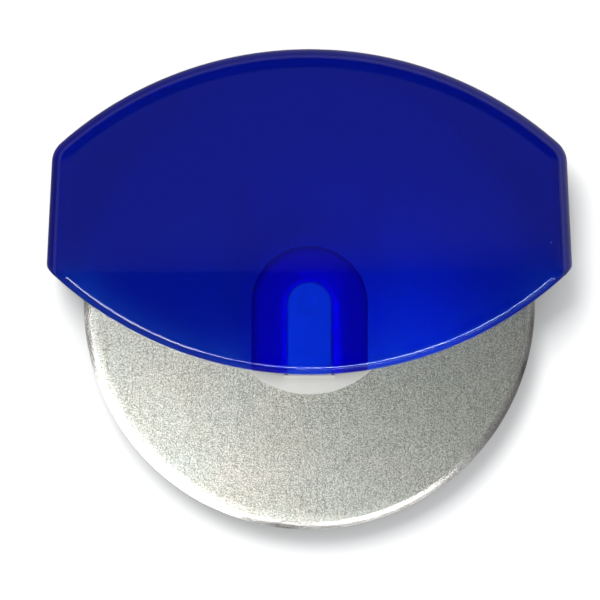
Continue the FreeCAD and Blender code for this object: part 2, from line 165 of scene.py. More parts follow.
def inner_path(inset):
    """Inner outline from the mouth arc on the right over the crown to the mouth arc on the left."""
    low = on_side(SIDE_DISTANCE - inset, MOUTH_CENTRE, np.full(inset.shape, ARC_RADIUS), -1)
    shoulder, crown = upper_half_path(inset)
    side = straight_points(low, shoulder[..., 0, :], SIDE_STEPS)
    return mirrored(np.concatenate([low[..., None, :], side, shoulder, crown[..., 1:, :]], axis=-2))


def mouth_stretch(start, end, radius, count):
    """Points along the mouth arc between two of its points, both ends included."""
    bearing = [np.arctan2(point[..., 1] - MOUTH_CENTRE[1], point[..., 0]) for point in (start, end)]
    centre = np.broadcast_to(MOUTH_CENTRE, bearing[0].shape + (2,))
    return arc_points(centre, radius, bearing[0], bearing[1], count)


print("shoulder turns about", np.round(crown_turn / MM, 2), "mm")

# %% [markdown]
# ## From grids to a mesh
# A grid of points becomes a mesh when each small square of four neighbours is made a face. Grids
# that share an edge are made with the same points along it, and merging those points closes the
# seams. Now and then the merging swallows a hair-thin triangle, so any hole it leaves is filled.
# Blender's own normal tool then turns every face outwards.
# Each grid also has a group. The blade chooses a material by it, and the handle stores it on its
# faces as a value called frost.

# %% Mesh helpers
ARC_SMOOTH = math.radians(32)
WELD_DISTANCE = 0.002 * MM
SLIVER_LENGTH = 0.0001 * MM


class Surface:
    """Collects grids and flat patches, then welds them into one closed mesh."""

    def __init__(self):
        self.points, self.faces, self.groups, self.count = [], [], [], 0

    def add_grid(self, grid, group=0, wrap=False):
        """Squares between neighbouring points of a (rows, columns, 3) grid; wrap closes columns."""
        rows, columns = grid.shape[:2]
        index = np.arange(rows * columns).reshape(rows, columns) + self.count
        if wrap:
            index = np.concatenate([index, index[:, :1]], axis=1)
        quads = np.stack([index[:-1, :-1], index[:-1, 1:], index[1:, 1:], index[1:, :-1]], -1)
        quads = quads.reshape(-1, 4)
        self.points.append(grid.reshape(-1, 3))
        self.faces.extend(quads.tolist())
        self.groups.extend([group] * len(quads))
        self.count += rows * columns

    def add_patch(self, loops, level, group=0):
        """A flat patch at one height; the first loop is its edge and the others are holes in it."""
        corners = np.concatenate(loops)
        lifted = np.concatenate([corners, np.full((len(corners), 1), level)], axis=1)
        outlines = [[(*point, 0.0) for point in (loop / MM).tolist()] for loop in loops]
        triangles = [[corner + self.count for corner in three]
                     for three in tessellate_polygon(outlines)]
        self.points.append(lifted)
        self.faces.extend(triangles)
        self.groups.extend([group] * len(triangles))
        self.count += len(corners)

    def build(self, name, materials, turn=None):
        """Weld, turn faces outwards, and set smooth shading that breaks at sharp edges."""
        points = np.concatenate(self.points)
        if turn is not None:
            points = turn(points)
        mesh = bpy.data.meshes.new(name)
        mesh.from_pydata(points.tolist(), [], self.faces)
        if len(materials) > 1:
            mesh.polygons.foreach_set("material_index", [int(group) for group in self.groups])
        frost = mesh.attributes.new("frost", "FLOAT", "FACE")
        frost.data.foreach_set("value", [float(group) for group in self.groups])
        for material in materials:
            mesh.materials.append(material)
        weld = bmesh.new()
        weld.from_mesh(mesh)
        bmesh.ops.remove_doubles(weld, verts=weld.verts, dist=WELD_DISTANCE)
        bmesh.ops.dissolve_degenerate(weld, edges=weld.edges, dist=SLIVER_LENGTH)
        torn = [edge for edge in weld.edges if edge.is_boundary]
        bmesh.ops.holes_fill(weld, edges=torn)
        bmesh.ops.recalc_face_normals(weld, faces=weld.faces)
        weld.to_mesh(mesh)
        weld.free()
        piece = bpy.data.objects.new(name, mesh)
        bpy.context.scene.collection.objects.link(piece)
        mesh.shade_smooth()
        mesh.set_sharp_from_angle(angle=ARC_SMOOTH)
        open_edges = count_open_edges(mesh)
        print(f"{name}: {len(mesh.polygons)} faces, {open_edges} open edges")
        return piece


def count_open_edges(mesh):
    """Number of edges that do not have exactly two faces."""
    links = np.zeros(len(mesh.loops), dtype=np.int32)
    mesh.loops.foreach_get("edge_index", links)
    return int((np.bincount(links, minlength=len(mesh.edges)) != 2).sum())


def at_levels(paths, levels):
    """Lift a (levels, points, 2) stack of flat paths to their heights above the seam."""
    height = np.broadcast_to(np.asarray(levels, float)[:, None, None], paths.shape[:2] + (1,))
    return np.concatenate([paths, height], axis=-1)


# %% [markdown]
# ## Placing a half
# Both halves of the handle are drawn alike, and so are both carriers. The rear one is the front
# one turned half a turn about the upright axis, which saves drawing it twice.

# %% Lift to the seam, or turn over and lift
def to_front(points):
    """Raise a shape drawn about the seam plane to the seam's height."""
    return points + np.array([0.0, 0.0, seam_level])


def to_rear(points):
    """Half a turn about Y, (x, y, z) to (-x, y, -z), then raise to the seam's height."""
    return to_front(points * np.array([-1.0, 1.0, -1.0]))


# %% [markdown]
# ## The moulded handle half
# Inside, a moulded shell follows its outside at a steady wall thickness, because plastic that is
# thick in one place sinks as it cools. A Solidify modifier could give that wall, but it could not
# leave the mouth open or grow the horseshoe boss out of the ceiling.
# So the inside is built from level slices too, with the same heights as the outside. The ceiling,
# the underside of the boss and the meeting face at the seam are filled in as flat patches.
# Cut into the ceiling as well, the two guide ribs would draw hard lines that the real handle
# doesn't show, so they are closed boxes that hang a hair below it.

# %% Shell values
WALL = 2.4 * MM
EDGE_ROUND = 5.0 * MM
MOUTH_ROUND = 2.0 * MM
INNER_ROUND = 2.4 * MM
SEAM_BEVEL = 0.15 * MM
BOSS_LEVEL = 3.05 * MM
ARCH_RADIUS = 12.9 * MM
SLOT_RADIUS = 5.0 * MM
RIB_INNER = 14.2 * MM
RIB_WIDTH = 1.4 * MM
RIB_TOP = 26.4 * MM
RIB_DROP = 5.2 * MM
RIB_GAP = 0.03 * MM
LIP_PULL = 2.0 * MM
LEVEL_GAP = 0.004 * MM
POLISHED, SATIN, FROSTED = 0.0, 0.5, 1.0
ROUND_STEPS, ARCH_STEPS, BOSS_ROWS = 12, 49, 4
CAP_STEPS, FOOT_STEPS, SPAN_STEPS = 4, 14, 30
ceiling = half_depth - WALL
low_level = half_depth * 0.3


# %% Heights of the slices
def quarter_heights(top, radius):
    """Heights round a quarter circle that ends level at top: top - radius + radius * sin(angle)."""
    return top - radius + radius * np.sin(np.linspace(0.0, math.pi / 2, ROUND_STEPS + 1))


def quarter_inset(heights, top, radius):
    """Inset of a quarter circle at each height: radius minus the root of radius^2 - rise^2."""
    rise = np.clip(heights - (top - radius), 0.0, radius)
    return radius - np.sqrt(np.maximum(radius ** 2 - rise ** 2, 0.0))


def merged_heights(*sets):
    """All heights of several sets in order, with near doubles dropped."""
    joined = np.sort(np.concatenate(sets))
    return joined[np.concatenate([[True], np.diff(joined) > LEVEL_GAP])]


outer_levels = merged_heights(np.array([0.0, SEAM_BEVEL, low_level, ceiling]),
                              quarter_heights(half_depth, EDGE_ROUND),
                              quarter_heights(half_depth, MOUTH_ROUND),
                              quarter_heights(ceiling, INNER_ROUND))
inner_levels = outer_levels[outer_levels <= ceiling + 1e-9]
mouth_levels = outer_levels[outer_levels >= ceiling - 1e-9]
print(len(outer_levels), "levels outside,", len(inner_levels), "inside")


# %% Outlines of boss and ribs
def mouth_arc_point(offset):
    """Point of the mouth arc at a sideways offset: centre height less the root of R^2 - x^2."""
    offset = np.asarray(offset, float)
    return np.stack([offset, MOUTH_CENTRE[1] - np.sqrt(ARC_RADIUS ** 2 - offset ** 2)], axis=-1)


def horseshoe(radius):
    """Up the right side from the mouth arc, half round the axle, and down the left side.

    Takes an array of radii, one for each level, and returns (levels, points, 2).
    """
    centre = np.zeros(radius.shape + (2,))
    flat = np.zeros(radius.shape)
    arch = arc_points(centre, radius, flat, flat + math.pi, ARCH_STEPS)
    right, left = mouth_arc_point(radius), mouth_arc_point(-radius)
    return np.concatenate([right[:, None], arch, left[:, None]], axis=1)


def rib_outline(side):
    """The four corners of a guide rib on one side of the boss."""
    near, far = side * RIB_INNER, side * (RIB_INNER + RIB_WIDTH)
    return np.array([[near, -RIB_DROP], [far, -RIB_DROP], [far, RIB_TOP], [near, RIB_TOP]])


def lifted_wall(outline, low, high, rows=3):
    """A flat outline repeated at evenly spaced heights, which stands as a wall."""
    heights = np.linspace(low, high, rows)
    return at_levels(np.broadcast_to(outline, (rows,) + outline.shape), heights)


# %% Build one half of the handle
def make_shell(name, turn, material):
    """Outer levels, mouth lip, inner levels, wall ends and flat patches, welded into one shell.

    The group given with each grid is its frost, so grids without one are polished.
    """
    shell = Surface()
    inset = quarter_inset(outer_levels, half_depth, EDGE_ROUND)
    inset[0] = SEAM_BEVEL
    mouth_inset = quarter_inset(outer_levels, half_depth, MOUTH_ROUND)
    outer = outer_path(inset, mouth_inset)
    shell.add_grid(at_levels(outer, outer_levels))

    inner_inset = WALL + quarter_inset(inner_levels, ceiling, INNER_ROUND)
    inner = inner_path(inner_inset)
    shell.add_grid(at_levels(inner, inner_levels), group=FROSTED)

    low = len(inner_levels)
    low_radii = np.full(low, ARC_RADIUS)
    right_end = mouth_stretch(outer[:low, 0], inner[:, 0], low_radii, CAP_STEPS)
    left_end = mouth_stretch(inner[:, -1], outer[:low, -1], low_radii, CAP_STEPS)
    shell.add_grid(at_levels(right_end, inner_levels))
    shell.add_grid(at_levels(left_end, inner_levels))

    lip_rows = outer[low - 1:]
    lip_radii = ARC_RADIUS - mouth_inset[low - 1:]
    rise = (mouth_levels - ceiling) / (half_depth - ceiling)
    end_offset = inner[-1, 0, 0] - LIP_PULL * rise
    offsets = [end_offset, np.full(rise.shape, ARCH_RADIUS), np.full(rise.shape, SLOT_RADIUS)]
    offsets += [-offset for offset in offsets[::-1]]
    stops = [mouth_arc_point(offset) for offset in offsets]
    stops = [lip_rows[:, 0]] + stops + [lip_rows[:, -1]]
    counts = [CAP_STEPS, SPAN_STEPS, FOOT_STEPS, FOOT_STEPS, FOOT_STEPS, SPAN_STEPS, CAP_STEPS]
    stretches = [mouth_stretch(start, end, lip_radii, count)
                 for start, end, count in zip(stops[:-1], stops[1:], counts)]
    for stretch in stretches:
        shell.add_grid(at_levels(stretch, mouth_levels))

    lip_edge = [stretch[0] for stretch in stretches]
    face_edge = [stretch[-1][1:] for stretch in stretches]
    face_loop = np.concatenate([outer[-1]] + [part[::-1] for part in face_edge[::-1]])[:-1]
    shell.add_patch([drop_doubles(face_loop)], half_depth)

    heights = np.linspace(BOSS_LEVEL, ceiling, BOSS_ROWS)
    arch = horseshoe(np.full(BOSS_ROWS, ARCH_RADIUS))
    slot = horseshoe(np.full(BOSS_ROWS, SLOT_RADIUS))
    around = np.concatenate([inner[-1], lip_edge[5][::-1], arch[-1, ::-1], lip_edge[1][::-1]])
    shell.add_patch([drop_doubles(around)], ceiling, group=FROSTED)
    keyway = np.concatenate([slot[-1], lip_edge[3][::-1]])
    shell.add_patch([drop_doubles(keyway)], ceiling, group=SATIN)
    shell.add_grid(at_levels(arch, heights), group=FROSTED)
    shell.add_grid(at_levels(slot, heights), group=SATIN)
    foot_radii = np.full(BOSS_ROWS, ARC_RADIUS)
    feet = [mouth_stretch(slot[:, -1], arch[:, -1], foot_radii, FOOT_STEPS),
            mouth_stretch(arch[:, 0], slot[:, 0], foot_radii, FOOT_STEPS)]
    for foot in feet:
        shell.add_grid(at_levels(foot, heights))
    underside = np.concatenate([arch[0], feet[0][0, ::-1], slot[0, ::-1], feet[1][0, ::-1]])
    shell.add_patch([drop_doubles(underside)], BOSS_LEVEL, group=SATIN)
    for side in (1, -1):
        rib = rib_outline(side)
        shell.add_grid(lifted_wall(rib, BOSS_LEVEL, ceiling - RIB_GAP), group=FROSTED, wrap=True)
        shell.add_patch([rib], BOSS_LEVEL, group=FROSTED)
        shell.add_patch([rib], ceiling - RIB_GAP, group=FROSTED)

    seam = np.concatenate([outer[0], left_end[0][::-1], inner[0][::-1], right_end[0][::-1]])
    shell.add_patch([drop_doubles(seam)], 0.0, group=FROSTED)
    return shell.build(name, [material], turn)


def drop_doubles(loop):
    """A closed loop without points that repeat the one before."""
    gap = np.linalg.norm(loop - np.roll(loop, 1, axis=0), axis=1)
    return loop[gap > 1e-7]


# %% [markdown]
# ## Turned pieces
# Blade, sleeve and pin are round about the axle. Each could start as a Blender cylinder, but then
# its bevels would be whatever a modifier makes of them. Carrying a profile of radius and height
# round the axle gives every ground facet at its true width.
# The blade's rim has two facets, because a cutter is ground twice: a shallow grind that thins the
# plate and a steeper one that makes the edge.

# %% Carry a profile round the axle
def turned_grid(profile, steps):
    """Each profile point (radius, height) becomes a ring: (radius cos, radius sin, height)."""
    angle = np.linspace(0.0, 2.0 * math.pi, steps, endpoint=False)
    radius, height = np.asarray(profile, float).T
    return np.stack([radius[:, None] * np.cos(angle),
                     radius[:, None] * np.sin(angle),
                     np.broadcast_to(height[:, None], (len(radius), steps))], axis=-1)


# %% Blade
BEVEL_WIDTH = 1.7 * MM
FIRST_GRIND = 0.8 * MM
FIRST_DROP = 0.125 * MM
EDGE_HALF = 0.06 * MM
BORE_RADIUS = 6.05 * MM
BLADE_STEPS, FACE_RINGS, FACET_RINGS = 480, 24, 3
STEEL_FACE, GROUND_RIM = 0, 1
blade_half = (blade_high[2] - blade_low[2]) / 2


def make_blade(name, turn, face, ground):
    """Flat ring with a bored middle and two ground facets on each side."""
    bevel_start = blade_radius - BEVEL_WIDTH
    upper = np.array([[bevel_start, blade_half],
                      [bevel_start + FIRST_GRIND, blade_half - FIRST_DROP],
                      [blade_radius, EDGE_HALF]])
    blade = Surface()
    flat = np.linspace((BORE_RADIUS, blade_half), upper[0], FACE_RINGS)
    for side in (1.0, -1.0):
        flip = np.array([1.0, side])
        blade.add_grid(turned_grid(flat * flip, BLADE_STEPS), group=STEEL_FACE, wrap=True)
        for start, end in zip(upper[:-1], upper[1:]):
            facet = np.linspace(start, end, FACET_RINGS) * flip
            blade.add_grid(turned_grid(facet, BLADE_STEPS), group=GROUND_RIM, wrap=True)
    edge = np.linspace((blade_radius, EDGE_HALF), (blade_radius, -EDGE_HALF), 2)
    bore = np.linspace((BORE_RADIUS, blade_half), (BORE_RADIUS, -blade_half), 2)
    blade.add_grid(turned_grid(edge, BLADE_STEPS), group=GROUND_RIM, wrap=True)
    blade.add_grid(turned_grid(bore, BLADE_STEPS), group=STEEL_FACE, wrap=True)
    return blade.build(name, [face, ground], turn)


# %% Sleeve and pin
PIN_BEVEL = 0.3 * MM
SLEEVE_BEVEL = 0.12 * MM
SLEEVE_BORE = 2.45 * MM
SLEEVE_STEPS, PIN_STEPS, DISH_RINGS = 120, 72, 10
DISH_DEPTH, DISH_SHARE, DISH_CENTRE = 0.12 * MM, 0.9, 0.02


def make_sleeve(name, turn, material):
    """Short ring with its four edges broken by a small bevel."""
    outer, inner = sleeve_high[0], SLEEVE_BORE
    half, bevel = (sleeve_high[2] - sleeve_low[2]) / 2, SLEEVE_BEVEL
    profile = [(inner, half - bevel), (inner + bevel, half), (outer - bevel, half),
               (outer, half - bevel), (outer, bevel - half), (outer - bevel, -half),
               (inner + bevel, -half), (inner, bevel - half), (inner, half - bevel)]
    sleeve = Surface()
    sleeve.add_grid(turned_grid(profile, SLEEVE_STEPS), wrap=True)
    return sleeve.build(name, [material], turn)


def make_pin(name, turn, material):
    """Plain rod with bevelled ends and a faint dish in each end face: depth * (1 - r^2)."""
    radius, half = pin_high[0], (pin_high[2] - pin_low[2]) / 2
    rim = radius - PIN_BEVEL
    spread = np.linspace(1.0, DISH_CENTRE, DISH_RINGS)
    face = np.stack([rim * DISH_SHARE * spread, half - DISH_DEPTH * (1.0 - spread ** 2)], axis=-1)
    side = np.array([[rim, half], [radius, half - PIN_BEVEL]])
    half_profile = np.concatenate([face[::-1], side])
    profile = np.concatenate([half_profile, half_profile[::-1] * np.array([1.0, -1.0])])
    pin = Surface()
    grid = turned_grid(profile, PIN_STEPS)
    pin.add_grid(grid, wrap=True)
    pin.add_patch([grid[0, :, :2]], grid[0, 0, 2])
    pin.add_patch([grid[-1, :, :2]], grid[-1, 0, 2])
    return pin.build(name, [material], turn)


# %% [markdown]
# ## The white carriers
# Each carrier is a disc that lies beside the blade, with a tongue standing on it that slides in the
# keyway of the handle, and a small foot that stops against the mouth. On the real piece they are
# one moulding. They could be fused with a Boolean, but that leaves long thin triangles that shade
# badly, so tongue and foot are closed shapes that stand half a millimetre deep in the disc.
# Tongue and foot are prisms with rounded top edges: a stack of one outline whose inset follows a
# quarter circle, the same idea as the handle.

# %% Carrier values
DISC_THICKNESS = 2.2 * MM
DISC_ROUND = 0.5 * MM
TONGUE_RADIUS = 4.85 * MM
TONGUE_ROUND = 0.35 * MM
FOOT_WIDTH = 11.3 * MM
FOOT_THICKNESS = 0.6 * MM
FOOT_GAP = 0.05 * MM
FOOT_ROUND = 0.12 * MM
PIN_HOLE = 2.42 * MM
SINK = 0.5 * MM
DISC_STEPS, HOLE_STEPS, TONGUE_STEPS = 180, 48, 41
RIM_ROWS, EDGE_ROWS, CORNER_POINTS = 7, 6, 5
disc_face = disc_low[2] - seam_level + DISC_THICKNESS
tongue_top = disc_high[2] - seam_level


def tongue_outline(inset):
    """Half round over the axle with two straight legs down to the mouth: (levels, points, 2)."""
    low = -mouth_drop - FOOT_GAP
    centre = np.zeros(inset.shape + (2,))
    radius = TONGUE_RADIUS - inset
    flat = np.zeros(inset.shape)
    arch = arc_points(centre, radius, flat, flat + math.pi, TONGUE_STEPS)
    right = np.stack([radius, np.full(inset.shape, low)], -1)[..., None, :]
    left = right * np.array([-1.0, 1.0])
    return np.concatenate([right, arch, left], axis=-2)


def foot_outline(inset):
    """Rounded rectangle under the tongue, its four corners turned at one small radius."""
    top = -mouth_drop - FOOT_GAP - inset
    bottom = -mouth_drop - FOOT_GAP - FOOT_THICKNESS + inset
    side = FOOT_WIDTH / 2 - inset
    turn = np.full(inset.shape, FOOT_ROUND)
    corners = [(side - turn, top - turn, 0.0), (turn - side, top - turn, 0.5),
               (turn - side, bottom + turn, 1.0), (side - turn, bottom + turn, 1.5)]
    arcs = [arc_points(np.stack([x, y], -1), turn, np.full(inset.shape, start * math.pi),
                       np.full(inset.shape, (start + 0.5) * math.pi), CORNER_POINTS)
            for x, y, start in corners]
    return np.concatenate(arcs, axis=-2)


def add_prism(surface, outline, low, high, edge_round, hole=None):
    """Stack an outline from low to high with a rounded top edge; a round hole may pass through."""
    heights = np.concatenate([[low], high - edge_round + edge_round
                              * np.sin(np.linspace(0.0, math.pi / 2, EDGE_ROWS))])
    paths = outline(quarter_inset(heights, high, edge_round))
    surface.add_grid(at_levels(paths, heights), wrap=True)
    holes = [] if hole is None else [hole]
    surface.add_patch([paths[-1]] + holes, high)
    surface.add_patch([paths[0]] + holes, low)
    if hole is not None:
        surface.add_grid(lifted_wall(hole, low, high), wrap=True)


def make_carrier(name, turn, material):
    """Disc with a rounded rim, keyed tongue and stop foot, with the pin hole through."""
    back, front = disc_face - DISC_THICKNESS, disc_face
    angle = np.linspace(0.0, math.pi / 2, RIM_ROWS)
    rim = np.stack([disc_high[0] - DISC_ROUND + DISC_ROUND * np.cos(angle),
                    front - DISC_ROUND + DISC_ROUND * np.sin(angle)], -1)
    profile = np.concatenate([[[PIN_HOLE, back], [disc_high[0], back]], rim,
                              [[PIN_HOLE, front], [PIN_HOLE, back]]])
    carrier = Surface()
    carrier.add_grid(turned_grid(profile, DISC_STEPS), wrap=True)
    hole = turned_grid([(PIN_HOLE, 0.0)], HOLE_STEPS)[0, :, :2]
    add_prism(carrier, tongue_outline, front - SINK, tongue_top, TONGUE_ROUND, hole)
    add_prism(carrier, foot_outline, front - SINK, tongue_top, FOOT_ROUND)
    return carrier.build(name, [material], turn)


# %% [markdown]
# ## Node tools
# Materials here are wired in code. Small helpers keep each one short enough to read. Effects that
# several finishes share are node groups, so that a change to the grain or the dust shows on every
# piece at once.

# %% Node helpers
def add_node(tree, kind, **settings):
    """Add a node to the tree and set its attributes by name."""
    node = tree.nodes.new(kind)
    for key, value in settings.items():
        setattr(node, key, value)
    return node


def fill(node, **values):
    """Set input sockets by name, with underscores for spaces."""
    for key, value in values.items():
        node.inputs[key.replace("_", " ")].default_value = value
    return node


def math_node(tree, operation, first, second=None, third=None):
    """A Math node whose inputs are sockets or plain numbers; returns its output."""
    node = add_node(tree, "ShaderNodeMath", operation=operation)
    for slot, value in enumerate((first, second, third)):
        if value is None:
            continue
        if isinstance(value, (int, float)):
            node.inputs[slot].default_value = value
        else:
            tree.links.new(value, node.inputs[slot])
    return node.outputs[0]


def ramp(tree, value, low, high, out_low=0.0, out_high=1.0):
    """Map a value smoothly from one range to another; returns the mapped output."""
    node = add_node(tree, "ShaderNodeMapRange", interpolation_type="SMOOTHSTEP")
    fill(node, From_Min=low, From_Max=high, To_Min=out_low, To_Max=out_high)
    tree.links.new(value, node.inputs["Value"])
    return node.outputs["Result"]


def blend_colours(tree, mask, first, second):
    """Mix two colours, plain or linked, by a mask; returns the mixed colour."""
    node = add_node(tree, "ShaderNodeMix", data_type="RGBA")
    tree.links.new(mask, node.inputs[0])
    for slot, colour in ((6, first), (7, second)):
        if isinstance(colour, tuple):
            node.inputs[slot].default_value = (*colour, 1.0)
        else:
            tree.links.new(colour, node.inputs[slot])
    return node.outputs[2]


def mix_shaders(tree, mask, first, second):
    """A Mix Shader node between two shader nodes, by a linked mask."""
    node = add_node(tree, "ShaderNodeMixShader")
    tree.links.new(mask, node.inputs[0])
    tree.links.new(first.outputs[0], node.inputs[1])
    tree.links.new(second.outputs[0], node.inputs[2])
    return node


def start_group(name, inputs, outputs):
    """A shader node group with number inputs {name: default} and outputs {name: socket kind}."""
    group = bpy.data.node_groups.new(name, "ShaderNodeTree")
    for label, default in inputs.items():
        socket = group.interface.new_socket(label, in_out="INPUT", socket_type="NodeSocketFloat")
        socket.default_value = default
    for label, kind in outputs.items():
        group.interface.new_socket(label, in_out="OUTPUT", socket_type="NodeSocket" + kind)
    entry = group.nodes.new("NodeGroupInput")
    leave = group.nodes.new("NodeGroupOutput")
    return group, entry, leave


def place_group(tree, group, **values):
    """Put a node group in a material with its own values."""
    node = add_node(tree, "ShaderNodeGroup", node_tree=group)
    return fill(node, **values)


def start_material(name, **values):
    """A material whose Principled shader has the given plain socket values."""
    material = bpy.data.materials.new(name)
    material.use_nodes = True
    shader = material.node_tree.nodes["Principled BSDF"]
    for key, value in values.items():
        colour = isinstance(value, tuple)
        shader.inputs[key.replace("_", " ")].default_value = (*value, 1.0) if colour else value
    return material, material.node_tree, shader


def add_bump(tree, shader, height, distance, strength=1.0):
    """Feed a height through a Bump node into the shader's normal."""
    bump = add_node(tree, "ShaderNodeBump")
    fill(bump, Distance=distance, Strength=strength)
    tree.links.new(height, bump.inputs["Height"])
    tree.links.new(bump.outputs["Normal"], shader.inputs["Normal"])
    return bump


# %% [markdown]
# ## Shared surface effects
# Grain is the fine sparkle of blasted steel or the texture of a mould, and every finish here has
# it. Specks are the few dust motes and pin marks that handled plastic collects, blue or white.
# Painted textures would need unwrapping. These groups read Object coordinates in metres, so their
# scales can be thought of as marks per metre.

# %% Grain group
def make_grain_group():
    """Two octaves of noise: Fine changes grain to grain and Patch over several millimetres."""
    group, entry, leave = start_group("surface_grain",
                                      {"Fine Scale": 2500.0, "Patch Scale": 60.0},
                                      {"Fine": "Float", "Patch": "Float"})
    place = add_node(group, "ShaderNodeTexCoord")
    for label, detail in (("Fine", 2.0), ("Patch", 3.0)):
        noise = fill(add_node(group, "ShaderNodeTexNoise"), Detail=detail, Roughness=0.55)
        group.links.new(place.outputs["Object"], noise.inputs["Vector"])
        group.links.new(entry.outputs[label + " Scale"], noise.inputs["Scale"])
        group.links.new(noise.outputs["Fac"], leave.inputs[label])
    return group


# %% Speck group
def make_speck_group():
    """Scattered round motes: near 1 inside a mote whose cell drew a high random number."""
    group, entry, leave = start_group("dust_specks",
                                      {"Scale": 160.0, "Size": 0.06, "Share": 0.08},
                                      {"Mask": "Float"})
    place = add_node(group, "ShaderNodeTexCoord")
    cells = add_node(group, "ShaderNodeTexVoronoi", feature="F1")
    group.links.new(place.outputs["Object"], cells.inputs["Vector"])
    group.links.new(entry.outputs["Scale"], cells.inputs["Scale"])
    inside = math_node(group, "LESS_THAN", cells.outputs["Distance"], entry.outputs["Size"])
    split = add_node(group, "ShaderNodeSeparateColor")
    group.links.new(cells.outputs["Color"], split.inputs["Color"])
    drawn = math_node(group, "LESS_THAN", split.outputs[0], entry.outputs["Share"])
    mask = math_node(group, "MULTIPLY", inside, drawn)
    group.links.new(mask, leave.inputs["Mask"])
    return group


grain_group = make_grain_group()
speck_group = make_speck_group()
print("node groups:", [group.name for group in bpy.data.node_groups])

# %% [markdown]
# ## See-through blue plastic
# The handle is clear plastic dyed deep blue. Its outside is polished by the mould, the underside
# of the boss is satin, and the rest of the inside is frosted. Whatever lies close behind the wall
# shows, and whatever lies deeper melts away. Colour could be painted on the surface, but then thick
# and thin places would look alike. Here Volume Absorption takes light away with depth, so a wall
# passes blue, while the upright sides, seen end on, go nearly black.
# The whole shell has one material, because Cycles keeps track of a volume by its material. The
# frost value stored on each face tells polished, satin and frosted apart.
# Frosted faces also scatter light back, and a milky Diffuse share stands for that.

# %% [markdown]
# ## How light gets through the blue plastic
# Path tracing finds lamps through frosted plastic badly. Many more samples would cure that slowly,
# and two switches on the kind of ray are quicker.
# For shadow rays the surface is a plain filter. Polished and satin faces let lamps through, and
# frosted ones stop them. Satin lets through more than it receives, which real plastic can't do. It
# makes up for the light that the frosted walls would have carried to the carriers.
# For light off matt things, plastic met from outside is solid and dark, so that the table keeps a
# grey shadow. A real handle would tint it a faint blue.

# %% Blue plastic
CLEAR_TINT = (0.80, 0.86, 1.0)
DYE_COLOUR = (0.05, 0.55, 0.970)
DYE_DENSITY = 1500.0
MILK_COLOUR = (0.05, 0.22, 0.34)
MILK_SHARE = 0.60
SOLID_COLOUR = (0.02, 0.02, 0.03)
CLEAR_FILTER, GATHER = 0.95, 4.4


def make_blue_plastic():
    """Dyed clear plastic whose gloss, milkiness and shadow filter follow the frost value."""
    material, tree, shader = start_material("blue_plastic", Base_Color=CLEAR_TINT, IOR=1.49,
                                            Transmission_Weight=1.0, Roughness=0.04)
    frost = add_node(tree, "ShaderNodeAttribute", attribute_name="frost").outputs["Fac"]
    grain = place_group(tree, grain_group, Fine_Scale=2200.0, Patch_Scale=70.0)
    specks = place_group(tree, speck_group, Scale=150.0, Size=0.055, Share=0.10)
    polished = ramp(tree, grain.outputs["Patch"], 0.35, 0.75, 0.02, 0.06)
    marked = math_node(tree, "MULTIPLY_ADD", specks.outputs["Mask"], 0.5, polished)
    frosted = ramp(tree, grain.outputs["Patch"], 0.3, 0.8, 0.88, 1.0)
    difference = math_node(tree, "SUBTRACT", frosted, marked)
    rough = math_node(tree, "MULTIPLY_ADD", difference, frost, marked)
    tree.links.new(rough, shader.inputs["Roughness"])
    swell = math_node(tree, "MULTIPLY", grain.outputs["Patch"], 0.12)
    ripple = math_node(tree, "MULTIPLY_ADD", specks.outputs["Mask"], 0.3, swell)
    texture = math_node(tree, "MULTIPLY", grain.outputs["Fine"], frost)
    add_bump(tree, shader, math_node(tree, "ADD", ripple, texture), 0.01 * MM)

    milk = fill(add_node(tree, "ShaderNodeBsdfDiffuse"), Color=(*MILK_COLOUR, 1.0))
    body = mix_shaders(tree, ramp(tree, frost, SATIN, FROSTED, 0.0, MILK_SHARE), shader, milk)

    side = add_node(tree, "ShaderNodeNewGeometry")
    path = add_node(tree, "ShaderNodeLightPath")
    inward = math_node(tree, "MAXIMUM", side.outputs["Backfacing"],
                       ramp(tree, frost, POLISHED, SATIN))
    solid = fill(add_node(tree, "ShaderNodeBsdfDiffuse"), Color=(*SOLID_COLOUR, 1.0))
    stopped = math_node(tree, "MULTIPLY", path.outputs["Is Diffuse Ray"],
                        math_node(tree, "SUBTRACT", 1.0, side.outputs["Backfacing"]))
    body = mix_shaders(tree, stopped, body, solid)

    clear = add_node(tree, "ShaderNodeBsdfTransparent")
    veiled = math_node(tree, "SUBTRACT", ramp(tree, frost, POLISHED, SATIN, CLEAR_FILTER, GATHER),
                       ramp(tree, frost, SATIN, FROSTED, 0.0, GATHER))
    tree.links.new(math_node(tree, "MULTIPLY", inward, veiled), clear.inputs["Color"])
    body = mix_shaders(tree, path.outputs["Is Shadow Ray"], body, clear)

    dye = add_node(tree, "ShaderNodeVolumeAbsorption")
    fill(dye, Color=(*DYE_COLOUR, 1.0), Density=DYE_DENSITY)
    surface_out = tree.nodes["Material Output"]
    tree.links.new(body.outputs[0], surface_out.inputs["Surface"])
    tree.links.new(dye.outputs["Volume"], surface_out.inputs["Volume"])
    return material


# %% [markdown]
# ## Steel
# The faces of the blade are sand-blasted and then drawn lightly along one direction, which leaves a
# salt-and-pepper sparkle with faint upright lines and a breath of green and blue. The rim is
# ground, so it is bright, and its marks run round the axle.
# One metal shader cannot be both, so the rim has its own material. The sparkle comes mostly from
# bump, as on the real sheet, with a little change of colour to keep it alive in flat light.

